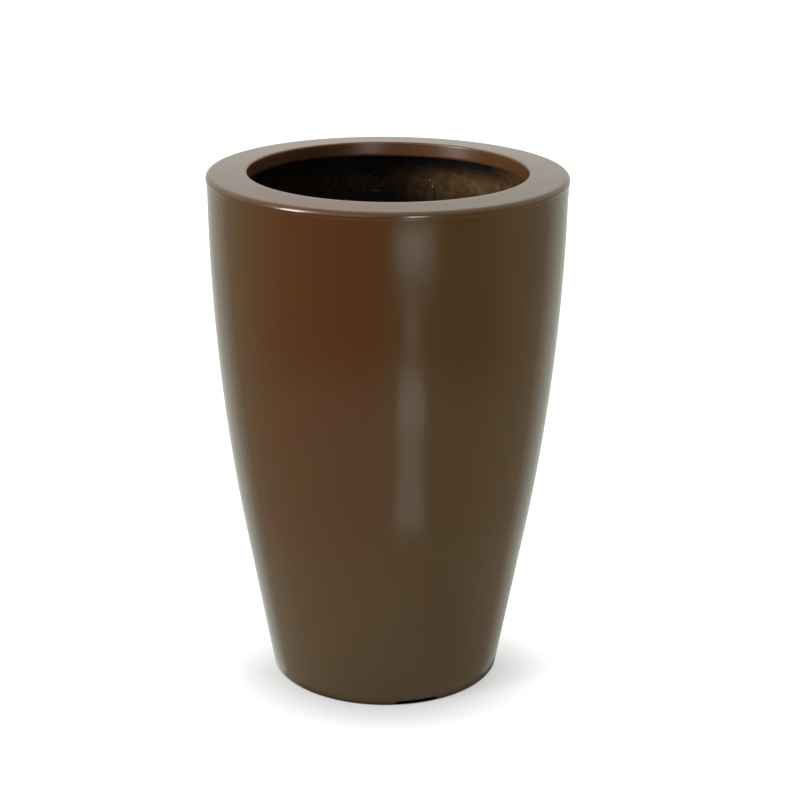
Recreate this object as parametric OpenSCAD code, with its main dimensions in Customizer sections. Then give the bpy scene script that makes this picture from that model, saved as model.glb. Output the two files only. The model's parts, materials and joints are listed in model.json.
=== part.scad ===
// Cone planter: a fibreglass floor planter with a bowed, tapered wall and a flat rim turned inwards.
// It is bonded together from three mouldings, a wall, a rim and a floor, and has a plug in its drain.
// The planter stands upright on the bottom edge of its wall, centred on the Z axis with its foot at Z 0.

/* [Wall] */
// Height of the planter, to the crest of its rim
height = 600; // [480:5:800]
// Outer diameter at the top of the wall, under the rim
wall_top_d = 405; // [370:1:500]
// Outer diameter at the foot
foot_d = 269; // [220:1:320]
// Height of the straight cone above the foot, where the bow of the wall begins
cone_h = 172; // [80:1:260]
// Thickness of the wall's laminate
wall_t = 5; // [3:0.5:7]
// Radius of the outer corner at the foot
foot_edge_r = 3; // [1:0.5:4]

/* [Rim] */
// Diameter of the mouth, inside the lip
mouth_d = 314; // [260:1:330]
// How far the edge of the rim stands out past the wall
rim_proud = 1.5; // [0.5:0.5:4]
// Thickness of the rim's laminate
rim_t = 4; // [3:0.5:6]
// Depth of the lip below the crest of the rim
lip_drop = 17; // [10:1:40]
// Fall of the rim's top towards its outer edge, in degrees
rim_slope = 2; // [0:0.5:4]
// Radius of the rim's upper outer edge
nose_r = 5.5; // [3:0.5:8]
// Height of the curve that brings the edge of the rim back to the wall
nose_tuck_h = 4; // [2:0.5:8]
// Radius between the top of the rim and its lip
crest_r = 2; // [1:0.5:3]
// Depth of the skirt that locates the rim inside the wall
skirt_h = 15; // [8:1:30]

/* [Floor] */
// Height of the drain hole's lower edge above the ground
drain_rise = 18; // [14:1:40]
// Thickness of the floor tray's laminate
tray_t = 4; // [3:0.5:6]
// Fall of the floor from its edge to the drain
floor_fall = 3; // [1:0.5:8]
// Height of the tray's upturned flange
flange_h = 30; // [20:1:60]
// Diameter of the drain hole
drain_d = 25; // [16:1:32]
// Diameter of the flat seat round the drain hole
seat_d = 60; // [46:1:90]

/* [Bonded joints] */
// Thickness of the adhesive between two mouldings
bond_t = 1.5; // [0.5:0.1:3]
// Thickness of the glass tape laid over a joint
tape_t = 2; // [1:0.5:3]
// Length of the glass tape on each side of a joint
tape_lap = 25; // [15:1:40]

/* [Drain notches] */
// Number of shallow notches in the foot, which let drained water out
notch_count = 3; // [1:1:6]
// Width of a notch at the ground
notch_w = 50; // [20:1:70]
// Depth of a notch
notch_depth = 3; // [1:0.5:6]
// Direction of the first notch, in degrees from the X axis
notch_azimuth = -74; // [-180:1:180]

/* [Drain plug] */
// Diameter of the plug's flange
plug_flange_d = 38; // [36:1:45]
// Thickness of the plug's flange at its edge
plug_flange_t = 3; // [2:0.5:5]
// Length of the plug's tail below the floor
plug_tail_h = 6; // [2:0.5:10]
// Diameter of the knob that the plug is pulled by
knob_d = 16; // [10:1:24]
// Height of the knob above the flange
knob_h = 14; // [10:1:24]
// Gap between the plug and the drain hole, at the side
plug_clearance = 0.05; // [0.02:0.01:0.1]

/* [Hidden] */

round_fn = 180;
bow_steps = 24;
edge_steps = 8;
// A cut runs this far past the face it goes through
over = 1;
// The least width of the flat that the wall stands on
foot_flat = 1;

paint_colour = "#52371f";
laminate_colour = "#3f2c1c";
adhesive_colour = "#8a7a5c";
rubber_colour = "#26231f";

wall_top_r = wall_top_d / 2;
rim_r = wall_top_r + rim_proud;
mouth_r = mouth_d / 2;
foot_r = foot_d / 2;
drain_r = drain_d / 2;
seat_r = seat_d / 2;

// The crest is the highest line of the rim. From it the top falls outwards to the nose.
crest_z = height - crest_r;
crest_c = mouth_r + crest_r;
nose_c = rim_r - nose_r;
top_from = [crest_c + crest_r * sin(rim_slope), crest_z + crest_r * cos(rim_slope)];
nose_top_r = nose_c + nose_r * sin(rim_slope);
top_to = [nose_top_r, top_from[1] - (nose_top_r - top_from[0]) * tan(rim_slope)];
nose_z = top_to[1] - nose_r * cos(rim_slope);
wall_h = nose_z - nose_tuck_h;

// The wall is a straight cone up to cone_h, and above it an arc that ends upright at wall_h.
// The tangent of half the cone's angle is found by repeated substitution, from a first guess.
taper_guess = 0.1;
taper_rounds = 16;
function half_taper(t, rounds) =
    rounds <= 0 ? t
    : half_taper((wall_top_r - foot_r) / (wall_h - cone_h + 2 * cone_h / (1 - t * t)), rounds - 1);
taper = 2 * atan(half_taper(taper_guess, taper_rounds));
bow_r = (wall_h - cone_h) / sin(taper);
bow_c = wall_top_r - bow_r;

// A point of the face that lies inset inside the wall's outer face, at angle a of the bow
function bow_point(inset, a) = [bow_c + (bow_r - inset) * cos(a), wall_h - (bow_r - inset) * sin(a)];
// The bowed stretch of that face, between two such angles
function bow(inset, from, to) =
    [for (i = [0:bow_steps]) bow_point(inset, from + (to - from) * i / bow_steps)];
// The radius of that face at height z
function face_r(inset, z) =
    let (start = bow_point(inset, taper))
    z < start[1] ? start[0] - (start[1] - z) * tan(taper)
    : bow_c + sqrt(pow(bow_r - inset, 2) - pow(wall_h - z, 2));
function arc(c, r, from, to, steps = edge_steps) =
    [for (i = [0:steps]) let (a = from + (to - from) * i / steps) c + r * [cos(a), sin(a)]];

// Everything inside the face that lies inset inside the wall's outer face
module within(inset) {
    polygon(concat(
        [[0, -over], [face_r(inset, -over), -over]],
        bow(inset, taper, 0),
        [[wall_top_r - inset, wall_h + over], [0, wall_h + over]]));
}

// The layer between two such faces, from one height to another
module layer(outer, inner, from, to) {
    intersection() {
        difference() {
            within(outer);
            within(inner);
        }
        translate([0, from]) square([2 * wall_top_r, to - from]);
    }
}

// The wall cut through: up its inner face, down its outer face and round the corner at the foot
module wall_section() {
    r = min(foot_edge_r, wall_t - foot_flat);
    polygon(concat(
        [[face_r(wall_t, 0), 0]],
        bow(wall_t, taper, 0),
        bow(0, 0, taper),
        arc([face_r(r, r), r], r, -taper, -90)));
}

// Each notch is flat on top, with ends rounded to its depth, and runs straight out through the wall.
module drain_notches() {
    end_y = notch_w / 2 - notch_depth;
    for (i = [0:notch_count - 1])
        rotate([0, 0, notch_azimuth + 360 * i / notch_count])
            translate([foot_r / 2, 0, 0])
                rotate([90, 0, 90])
                    linear_extrude(foot_r)
                        polygon(concat(
                            arc([end_y, 0], notch_depth, 0, 90),
                            arc([-end_y, 0], notch_depth, 90, 180),
                            [[-notch_w / 2, -over], [notch_w / 2, -over]]));
}

module body_shell() {
    color(paint_colour)
    difference() {
        rotate_extrude($fn = round_fn) wall_section();
        drain_notches();
    }
}

// The rim ring is a channel, open below: the lip, the top, the solid nose and the skirt.
skirt_out_r = wall_top_r - wall_t - bond_t;
skirt_in_r = skirt_out_r - rim_t;
skirt_z = wall_h - skirt_h;
lip_r = rim_t / 2;
lip_z = height - lip_drop + lip_r;
function under_top(r) = top_to[1] + (top_to[0] - r) * tan(rim_slope) - rim_t / cos(rim_slope);

module rim_ring() {
    nose_tuck = [for (i = [0:edge_steps]) let (t = i / edge_steps)
        [wall_top_r + rim_proud * (1 - cos(180 * t)) / 2, wall_h + nose_tuck_h * t]];
    color(paint_colour)
    rotate_extrude($fn = round_fn)
        polygon(concat(
            arc([mouth_r + lip_r, lip_z], lip_r, 180, 360),
            [[mouth_r + rim_t, under_top(mouth_r + rim_t)], [skirt_in_r, under_top(skirt_in_r)],
             [skirt_in_r, skirt_z], [skirt_out_r, skirt_z], [skirt_out_r, wall_h]],
            nose_tuck,
            arc([nose_c, nose_z], nose_r, 90 / edge_steps, 90 - rim_slope, edge_steps - 1),
            arc([crest_c, crest_z], crest_r, 90 - rim_slope, 180)));
}

// Adhesive between the skirt of the rim and the inside of the wall
module rim_bond_bead() {
    color(adhesive_colour)
    rotate_extrude($fn = round_fn)
        intersection() {
            within(wall_t);
            translate([skirt_out_r, skirt_z]) square([wall_top_r - skirt_out_r, skirt_h]);
        }
}

// Glass tape from the inside of the skirt, round its end and down the wall
module rim_joint_tape() {
    lap_top = skirt_z + skirt_h - rim_t;
    lap_z = skirt_z - tape_lap;
    step_z = skirt_z - tape_t - bond_t - rim_t;
    color(laminate_colour)
    rotate_extrude($fn = round_fn)
        intersection() {
            within(wall_t);
            polygon([[skirt_in_r - tape_t, lap_top], [skirt_in_r - tape_t, skirt_z - tape_t],
                [face_r(wall_t + tape_t, step_z), step_z], [face_r(wall_t + tape_t, lap_z), lap_z],
                [wall_top_r, lap_z], [wall_top_r, skirt_z], [skirt_in_r, skirt_z], [skirt_in_r, lap_top]]);
        }
}

// The floor tray is a dish with an upturned flange that follows the wall.
flange_face = wall_t + bond_t;
flange_back = flange_face + tray_t;
floor_edge_z = drain_rise + floor_fall;
flange_z = floor_edge_z + flange_h;
seat_z = drain_rise + tray_t;

module floor_tray() {
    color(laminate_colour)
    rotate_extrude($fn = round_fn) {
        layer(flange_face, flange_back, floor_edge_z, flange_z);
        intersection() {
            within(flange_face);
            polygon([[drain_r, drain_rise], [seat_r, drain_rise], [foot_r, floor_edge_z],
                [foot_r, floor_edge_z + tray_t], [seat_r, seat_z], [drain_r, seat_z]]);
        }
    }
}

// Adhesive between the tray's flange and the inside of the wall
module floor_bond_bead() {
    color(adhesive_colour)
    rotate_extrude($fn = round_fn)
        layer(wall_t, flange_face, floor_edge_z, flange_z);
}

// Glass tape from the inside of the flange, round its end and up the wall
module floor_joint_tape() {
    bend_z = flange_z + tape_t;
    step_z = bend_z + bond_t + tray_t;
    lap_z = flange_z + tape_lap;
    tape_back = flange_back + tape_t;
    tape_face = wall_t + tape_t;
    color(laminate_colour)
    rotate_extrude($fn = round_fn) {
        layer(flange_back, tape_back, flange_z - flange_h / 2, flange_z);
        intersection() {
            within(wall_t);
            polygon([[face_r(tape_back, flange_z), flange_z], [face_r(tape_back, bend_z), bend_z],
                [face_r(tape_face, step_z), step_z], [face_r(tape_face, lap_z), lap_z],
                [wall_top_r, lap_z], [wall_top_r, flange_z]]);
        }
    }
}

// Rubber plug: a tail in the drain hole, a flange on the seat and a knob to pull it by
module drain_plug() {
    tail_r = drain_r - plug_clearance;
    flange_r = plug_flange_d / 2;
    knob_r = knob_d / 2;
    flange_top = seat_z + plug_flange_t;
    head_r = knob_h / 4;
    neck_r = knob_r - head_r;
    head_z = flange_top + knob_h - head_r;
    tip = min(plug_tail_h / 2, drain_r / 4);
    color(rubber_colour)
    rotate_extrude($fn = round_fn)
        polygon(concat(
            [[0, drain_rise - plug_tail_h], [tail_r - tip, drain_rise - plug_tail_h],
             [tail_r, drain_rise - plug_tail_h + tip], [tail_r, seat_z], [flange_r, seat_z]],
            arc([flange_r - plug_flange_t / 2, seat_z + plug_flange_t / 2], plug_flange_t / 2, 0, 90),
            [[neck_r + head_r / 2, flange_top], [neck_r, flange_top + head_r / 2], [neck_r, head_z - head_r]],
            arc([neck_r, head_z], head_r, -60, 90),
            [[0, head_z + head_r]]));
}

body_shell();
rim_ring();
rim_bond_bead();
rim_joint_tape();
floor_tray();
floor_bond_bead();
floor_joint_tape();
drain_plug();
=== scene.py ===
"""A fibreglass cone planter, painted brown, standing on a pale studio floor.

The wall, rim, floor and plug are turned from their sections round Z. All lengths are in metres.
"""

import json
import math

import bpy
from mathutils import Euler, Matrix, Vector

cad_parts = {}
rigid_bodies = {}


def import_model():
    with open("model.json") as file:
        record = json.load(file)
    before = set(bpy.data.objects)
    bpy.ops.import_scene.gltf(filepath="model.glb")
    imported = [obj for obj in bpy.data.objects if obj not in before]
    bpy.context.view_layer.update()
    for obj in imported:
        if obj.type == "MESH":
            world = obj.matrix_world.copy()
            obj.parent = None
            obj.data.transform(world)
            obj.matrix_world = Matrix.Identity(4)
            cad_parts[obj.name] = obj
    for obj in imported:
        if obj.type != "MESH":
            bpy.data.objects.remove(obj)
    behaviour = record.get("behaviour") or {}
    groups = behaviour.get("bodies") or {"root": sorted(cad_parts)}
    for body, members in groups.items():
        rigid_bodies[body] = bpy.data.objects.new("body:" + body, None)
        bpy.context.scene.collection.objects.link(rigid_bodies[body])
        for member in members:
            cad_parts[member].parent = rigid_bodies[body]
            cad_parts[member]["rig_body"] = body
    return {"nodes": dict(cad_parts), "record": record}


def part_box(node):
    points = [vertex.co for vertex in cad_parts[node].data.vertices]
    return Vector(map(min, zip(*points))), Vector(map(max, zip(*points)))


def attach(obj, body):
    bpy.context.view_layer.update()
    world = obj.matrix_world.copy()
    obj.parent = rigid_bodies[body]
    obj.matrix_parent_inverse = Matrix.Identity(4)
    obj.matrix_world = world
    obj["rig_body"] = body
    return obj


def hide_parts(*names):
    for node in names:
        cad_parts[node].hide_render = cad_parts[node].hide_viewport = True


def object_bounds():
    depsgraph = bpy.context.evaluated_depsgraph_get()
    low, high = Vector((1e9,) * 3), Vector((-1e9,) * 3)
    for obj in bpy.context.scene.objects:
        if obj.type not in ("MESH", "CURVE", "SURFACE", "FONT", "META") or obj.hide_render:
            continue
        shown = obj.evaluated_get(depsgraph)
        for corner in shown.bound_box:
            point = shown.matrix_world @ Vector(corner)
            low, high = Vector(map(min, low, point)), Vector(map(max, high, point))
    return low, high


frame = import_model()
cad_low, cad_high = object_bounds()

# Sizes that the model itself gives
MM = 0.001
HEIGHT = cad_high.z
RIM_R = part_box("rim_ring")[1].x
WALL_TOP_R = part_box("body_shell")[1].x
WALL_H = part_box("body_shell")[1].z
MOUTH_R = next(m for m in frame["record"]["mounts"] if m["name"] == "mouth")["dims"]["r_mm"] * MM
SKIRT_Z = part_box("rim_ring")[0].z
TAPE_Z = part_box("rim_joint_tape")[0].z
FLOOR_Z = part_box("floor_tray")[0].z
FLANGE_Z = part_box("floor_tray")[1].z
FLOOR_LAP_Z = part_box("floor_joint_tape")[1].z
PLUG_LOW_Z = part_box("drain_plug")[0].z
PLUG_HIGH_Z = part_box("drain_plug")[1].z
PLUG_FLANGE_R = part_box("drain_plug")[1].x

# Sizes of the mouldings
FOOT_R = 134.5 * MM
CONE_H = 172 * MM
WALL_T = 5 * MM
FOOT_EDGE_R = 3 * MM
BOND_T = 1.5 * MM
RIM_T = 4 * MM
LIP_DROP = 17 * MM
LIP_LEAN = 1.1 * MM
# The foot's bottom edge has painted shade, black and without gloss, at the front and back, where it meets
# the floor; the plain paint starts at the first of these distances to each side and is whole at the second
FOOT_SHADE_X = 85 * MM
FOOT_SHADE_END_X = 112 * MM
RIM_SLOPE = 2.0
NOSE_R = 5.5 * MM
NOSE_TUCK = 4 * MM
CREST_R = 2 * MM
TRAY_T = 4 * MM
FLOOR_FALL = 3 * MM
TAPE_T = 2 * MM
FEATHER_T = 0.6 * MM
FILLER_T = 0.8 * MM
FILLER_H = 24 * MM
DRAIN_R = 12.5 * MM
SEAT_R = 30 * MM
PLUG_GAP = 0.05 * MM
PLUG_TAIL = 6 * MM
PLUG_FLANGE_T = 3 * MM
KNOB_R = 8 * MM
NOTCH_COUNT = 3
NOTCH_W = 50 * MM
NOTCH_DEPTH = 3 * MM
NOTCH_AZIMUTH = -74.0

# How finely the sections are drawn
STEPS_ROUND = 480
PLUG_STEPS_ROUND = 96
ROW_OUT = 16 * MM
ROW_IN = 4.2 * MM
ARC_STEPS = 8

# The wall is a straight cone up to CONE_H, and above it an arc that ends upright at WALL_H. The rounds
# find the tangent of half the taper.
TAPER_ROUNDS = 16
half_taper = 0.1
for _ in range(TAPER_ROUNDS):
    half_taper = (WALL_TOP_R - FOOT_R) / (WALL_H - CONE_H + 2 * CONE_H / (1 - half_taper**2))
TAPER = 2 * math.atan(half_taper)
BOW_R = (WALL_H - CONE_H) / math.sin(TAPER)
BOW_C = WALL_TOP_R - BOW_R


def face_r(inset, z):
    """The radius, at height z, of the face that lies inset inside the wall's outer face."""
    bow_z = WALL_H - (BOW_R - inset) * math.sin(TAPER)
    if z < bow_z:
        return BOW_C + (BOW_R - inset) * math.cos(TAPER) - (bow_z - z) * math.tan(TAPER)
    return BOW_C + math.sqrt((BOW_R - inset) ** 2 - (WALL_H - z) ** 2)


def arc(centre, radius, start, end, steps=ARC_STEPS):
    """Points along a round corner, from one angle to another in degrees."""
    angles = [math.radians(start + (end - start) * i / steps) for i in range(steps + 1)]
    return [(centre[0] + radius * math.cos(a), centre[1] + radius * math.sin(a)) for a in angles]


def along_face(inset, start, end, spacing):
    """Points up or down a face of the wall, from one height to another."""
    steps = max(1, round(abs(end - start) / spacing))
    heights = [start + (end - start) * i / steps for i in range(steps + 1)]
    return [(face_r(inset, z), z) for z in heights]


def along(points, spacing):
    """The same outline with points added, so that none are further apart than the spacing."""
    made = []
    for (r0, z0), (r1, z1) in zip(points, points[1:]):
        steps = max(1, math.ceil(math.hypot(r1 - r0, z1 - z0) / spacing))
        made += [(r0 + (r1 - r0) * i / steps, z0 + (z1 - z0) * i / steps) for i in range(steps)]
    return made + [points[-1]]


def fill(tree, made, inputs):
    """Fill a node's inputs with values or with other nodes' outputs."""
    for key, value in inputs.items():
        if isinstance(value, bpy.types.Node):
            value = value.outputs[0]
        if isinstance(value, bpy.types.NodeSocket):
            tree.links.new(value, made.inputs[key])
        else:
            made.inputs[key].default_value = value


def node(tree, kind, inputs=(), **settings):
    """Add a node with its settings, and fill its inputs, which come by name in a dict or in their order.

    A map range takes its value, then the two ends that it comes from and the two that it goes to.
    """
    made = tree.nodes.new(kind)
    for name, value in settings.items():
        setattr(made, name, value)
    fill(tree, made, inputs if isinstance(inputs, dict) else dict(enumerate(inputs)))
    return made


def linear(hex_colour):
    """An sRGB hex colour as linear red, green, blue and alpha."""
    parts = [int(hex_colour[i : i + 2], 16) / 255 for i in (1, 3, 5)]
    return [c / 12.92 if c <= 0.04045 else ((c + 0.055) / 1.055) ** 2.4 for c in parts] + [1.0]


# Materials


def new_material(name):
    """An empty material, with its tree, its surface shader and the object's own coordinates."""
    material = bpy.data.materials.new(name)
    material.use_nodes = True
    tree = material.node_tree
    tree.nodes.clear()
    shader = node(tree, "ShaderNodeBsdfPrincipled")
    node(tree, "ShaderNodeOutputMaterial", {"Surface": shader})
    place = node(tree, "ShaderNodeTexCoord").outputs["Object"]
    return material, tree, shader, place


def satin_paint():
    """Two-pack polyurethane paint, sprayed on dark gelcoat, with a very fine orange peel.

    The eye sees an even satin brown, mixed from olive and red with a little random tone; its red at the
    upper left is a painted warm cast of light. The foot's bottom edge has painted shade, black at the front
    and back, and plain paint at its sides.
    """
    red_x = -72 * MM
    red_half = 40 * MM
    red_end = 98 * MM
    red_low_z = 100 * MM
    red_high_z = 460 * MM
    most_red = 0.8
    drift_size = 130 * MM
    drift_low = -0.1
    drift_high = 0.3
    lip_r = MOUTH_R + 2.5 * MM
    lip_end_r = MOUTH_R + 4.5 * MM
    lip_haze = 0.1
    nib_size = 26 * MM
    nib_r = 0.5 * MM
    nib_share = 0.07
    shade_h = 1.6 * MM
    shade_end_h = 2.8 * MM
    haze_size = 45 * MM
    haze_low = 0.165
    haze_high = 0.18
    peel_size = 2.6 * MM
    peel_depth = 0.1 * MM
    peel_strength = 0.03
    paint_level = 0.5
    material, tree, shader, place = new_material("satin_two_pack_paint")
    parts = node(tree, "ShaderNodeSeparateXYZ", {"Vector": place}).outputs

    # Redder in a broad patch at the left, more so higher up, which is a painted warm cast of light,
    # and a little here and there at random
    rise = node(tree, "ShaderNodeMapRange", (parts["Z"], red_low_z, red_high_z, 0.0, most_red))
    aside = node(tree, "ShaderNodeMath", (parts["X"], red_x), operation="SUBTRACT")
    aside = node(tree, "ShaderNodeMath", (aside,), operation="ABSOLUTE")
    warm_light_cast = node(tree, "ShaderNodeMapRange", (aside, red_half, red_end, 1.0, 0.0),
                 interpolation_type="SMOOTHSTEP")
    drift = node(tree, "ShaderNodeTexNoise", {"Vector": place, "Scale": 1 / drift_size, "Detail": 2.0})
    stray = node(tree, "ShaderNodeMapRange", (drift.outputs["Fac"], 0.0, 1.0, drift_low, drift_high))
    tone = node(tree, "ShaderNodeMath", (rise, warm_light_cast, stray), operation="MULTIPLY_ADD")
    colour = node(tree, "ShaderNodeMix", {"Factor": tone, 6: linear("#4f3b1e"), 7: linear("#542f12")},
                  data_type="RGBA")

    # Thinner and redder on the lip
    flat = node(tree, "ShaderNodeCombineXYZ", {"X": parts["X"], "Y": parts["Y"]})
    from_axis = node(tree, "ShaderNodeVectorMath", (flat,), operation="LENGTH").outputs["Value"]
    on_lip = node(tree, "ShaderNodeMapRange", (from_axis, lip_r, lip_end_r, 1.0, 0.0))
    above_lap = node(tree, "ShaderNodeMath", (parts["Z"], SKIRT_Z), operation="GREATER_THAN")
    on_lip = node(tree, "ShaderNodeMath", (on_lip, above_lap), operation="MULTIPLY")
    colour = node(tree, "ShaderNodeMix", {"Factor": on_lip, 6: colour.outputs[2], 7: linear("#623e20")},
                  data_type="RGBA")

    # A few pale specks of dust, caught in the paint
    cells = node(tree, "ShaderNodeTexVoronoi", {"Vector": place, "Scale": 1 / nib_size})
    speck = node(tree, "ShaderNodeMath", (cells.outputs["Distance"], nib_r / nib_size),
                 operation="LESS_THAN")
    lot = node(tree, "ShaderNodeSeparateColor", {"Color": cells.outputs["Color"]})
    chosen = node(tree, "ShaderNodeMath", (lot.outputs["Red"], 1 - nib_share), operation="GREATER_THAN")
    nib = node(tree, "ShaderNodeMath", (speck, chosen), operation="MULTIPLY")
    dusted = node(tree, "ShaderNodeMix", {"Factor": nib, 6: colour.outputs[2], 7: linear("#8a7257")},
                  data_type="RGBA")

    # Painted shade on the foot's bottom edge in front and behind: black, and with no gloss either
    above_edge = node(tree, "ShaderNodeAttribute", attribute_name="above_edge").outputs["Fac"]
    above_edge_shade = node(tree, "ShaderNodeMapRange", (above_edge, shade_h, shade_end_h, 0.0, 1.0))
    at_side = node(tree, "ShaderNodeMath", (parts["X"],), operation="ABSOLUTE")
    at_side = node(tree, "ShaderNodeMapRange", (at_side, FOOT_SHADE_X, FOOT_SHADE_END_X, 0.0, 1.0))
    clear_of_edge_shade = node(tree, "ShaderNodeMath", (above_edge_shade, at_side), operation="MAXIMUM")
    edged = node(tree, "ShaderNodeMix", {"Factor": clear_of_edge_shade, 6: linear("#0c0a08"), 7: dusted.outputs[2]},
                 data_type="RGBA")

    # A film that is nearly even, duller on the lip, over the orange peel
    haze = node(tree, "ShaderNodeTexNoise", {"Vector": place, "Scale": 1 / haze_size, "Detail": 1.0})
    film = node(tree, "ShaderNodeMapRange", (haze.outputs["Fac"], 0.0, 1.0, haze_low, haze_high))
    rough = node(tree, "ShaderNodeMath", (on_lip, lip_haze, film), operation="MULTIPLY_ADD")
    peel = node(tree, "ShaderNodeTexNoise", {"Vector": place, "Scale": 1 / peel_size, "Detail": 1.0})
    bump = node(tree, "ShaderNodeBump", {"Height": peel.outputs["Fac"], "Strength": peel_strength,
                                         "Distance": peel_depth})
    level = node(tree, "ShaderNodeMath", (clear_of_edge_shade, paint_level), operation="MULTIPLY")
    fill(tree, shader, {"Base Color": edged.outputs[2], "Roughness": rough, "Specular IOR Level": level,
                        "Normal": bump, "IOR": 1.5})
    return material


def sprayed_laminate(name, bare, sprayed_over, dull, dull_level):
    """Chopped strand mat in pigmented polyester resin, with brown overspray, and painted shade under the
    lip.

    The overspray thins out downwards. Where it is missing just under the lip, and where it is thinner to
    the left, that is painted shade. The eye sees a dark, uneven and mostly dull brown, with glints on the
    beads of bare resin.
    """
    thin_z = HEIGHT / 2
    thick_z = 0.9 * HEIGHT
    thin_share = 0.5
    shade_low = WALL_H - 42 * MM
    shade_high = WALL_H - 19 * MM
    side_start = 122 * MM
    side_end = 150 * MM
    side_share = 0.5
    spray_x = 18 * MM
    spray_end_x = 88 * MM
    spray_left = 0.4
    strand_size = 9 * MM
    cover_low = 0.35
    cover_high = 0.6
    least_cover = 0.45
    bead_size = 3 * MM
    bead_low = 0.5
    bead_high = 0.58
    grit_size = 1.6 * MM
    grit_depth = 0.4 * MM
    grit_strength = 0.6
    wet = 0.17
    wet_level = 0.5
    material, tree, shader, place = new_material(name)
    parts = node(tree, "ShaderNodeSeparateXYZ", {"Vector": place}).outputs
    height = parts["Z"]

    # Overspray, which thins out downwards and lies in blotches. Its lack just behind the lip, less at the
    # right end, and its thinning to the left are painted shade
    thin = node(tree, "ShaderNodeMapRange", (height, thin_z, thick_z, thin_share, 1.0))
    clear_of_lip_shade = node(tree, "ShaderNodeMapRange", (height, shade_low, shade_high, 1.0, 0.0),
                      interpolation_type="SMOOTHSTEP")
    at_side = node(tree, "ShaderNodeMapRange", (parts["X"], side_start, side_end, 0.0, side_share))
    clear_of_lip_shade = node(tree, "ShaderNodeMath", (clear_of_lip_shade, at_side), operation="MAXIMUM")
    on_right = node(tree, "ShaderNodeMapRange", (parts["X"], spray_x, spray_end_x, spray_left, 1.0))
    reach = node(tree, "ShaderNodeMath", (thin, clear_of_lip_shade), operation="MULTIPLY")
    reach = node(tree, "ShaderNodeMath", (reach, on_right), operation="MULTIPLY")
    blotch = node(tree, "ShaderNodeTexNoise", {"Vector": place, "Scale": 1 / strand_size, "Detail": 4.0})
    cover = node(tree, "ShaderNodeMapRange", (blotch.outputs["Fac"], cover_low, cover_high,
                                              least_cover, 1.0))
    sprayed = node(tree, "ShaderNodeMath", (reach, cover), operation="MULTIPLY")
    colour = node(tree, "ShaderNodeMix", {"Factor": sprayed, 6: linear(bare), 7: linear(sprayed_over)},
                  data_type="RGBA")

    # Beads of bare resin that catch the light between the grit
    beads = node(tree, "ShaderNodeTexNoise", {"Vector": place, "Scale": 1 / bead_size, "Detail": 1.0})
    bare_beads = node(tree, "ShaderNodeMapRange", (beads.outputs["Fac"], bead_low, bead_high, 0.0, 1.0))
    bare_beads = node(tree, "ShaderNodeMath", (bare_beads, clear_of_lip_shade), operation="MULTIPLY")
    gloss = node(tree, "ShaderNodeMapRange", (bare_beads, 0.0, 1.0, dull, wet))
    level = node(tree, "ShaderNodeMapRange", (bare_beads, 0.0, 1.0, dull_level, wet_level))
    grit = node(tree, "ShaderNodeTexNoise", {"Vector": place, "Scale": 1 / grit_size, "Detail": 2.0})
    bump = node(tree, "ShaderNodeBump", {"Height": grit.outputs["Fac"], "Strength": grit_strength,
                                         "Distance": grit_depth})
    fill(tree, shader, {"Base Color": colour.outputs[2], "Roughness": gloss, "Specular IOR Level": level,
                        "Normal": bump, "IOR": 1.54})
    return material


def bonding_paste():
    """Glass-filled polyester bonding paste: a dull, cloudy amber that the tape and the wall hide."""
    cloud_size = 12 * MM
    material, tree, shader, place = new_material("polyester_bonding_paste")
    cloud = node(tree, "ShaderNodeTexNoise", {"Vector": place, "Scale": 1 / cloud_size, "Detail": 3.0})
    colour = node(tree, "ShaderNodeMix", {"Factor": cloud.outputs["Fac"], 6: linear("#7d6c4c"),
                                          7: linear("#95866a")}, data_type="RGBA")
    fill(tree, shader, {"Base Color": colour.outputs[2], "Roughness": 0.45})
    return material


def moulded_rubber():
    """Moulded EPDM rubber: near black with a grey bloom, dull, with a fine spark-eroded skin."""
    bloom_size = 9 * MM
    skin_size = 0.6 * MM
    skin_depth = 0.1 * MM
    skin_strength = 0.3
    material, tree, shader, place = new_material("moulded_epdm_rubber")
    bloom = node(tree, "ShaderNodeTexNoise", {"Vector": place, "Scale": 1 / bloom_size, "Detail": 4.0})
    colour = node(tree, "ShaderNodeMix", {"Factor": bloom.outputs["Fac"], 6: linear("#1b1a19"),
                                          7: linear("#33312e")}, data_type="RGBA")
    skin = node(tree, "ShaderNodeTexNoise", {"Vector": place, "Scale": 1 / skin_size, "Detail": 1.0})
    bump = node(tree, "ShaderNodeBump", {"Height": skin.outputs["Fac"], "Strength": skin_strength,
                                         "Distance": skin_depth})
    fill(tree, shader, {"Base Color": colour.outputs[2], "Roughness": 0.62, "Normal": bump})
    return material


PAINT = satin_paint()
LAMINATE = sprayed_laminate("sprayed_chopped_strand_laminate", "#17110c", "#80603c", 0.8, 0.12)
STRANDS = sprayed_laminate("resin_wetted_glass_strands", "#1d1610", "#85653f", 0.7, 0.18)
PASTE = bonding_paste()
RUBBER = moulded_rubber()


# Sections, each an outline of (radius, height, rawness), where 1 is a rough laminate face and 0 a moulded
# one. They run up the inner side and down the outer side, and all but the plug's are closed.
CHANNEL_RAWNESS = 0.6
UNDERSIDE_RAWNESS = 0.5
# A face rawer than the first of these shows laminate on a painted moulding, and one rawer than the second
# has strands
LAMINATE_RAWNESS = 0.5
STRAND_RAWNESS = 0.8


def with_rawness(points, rawness):
    """The points of an outline, each with its rawness."""
    return [(r, z, rawness) for r, z in points]


def filler(z):
    """How thickly the joint under the rim is filled and sanded, at height z, before the paint goes on."""
    share = (z - WALL_H + FILLER_H) / FILLER_H
    return FILLER_T * share**2


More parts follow.
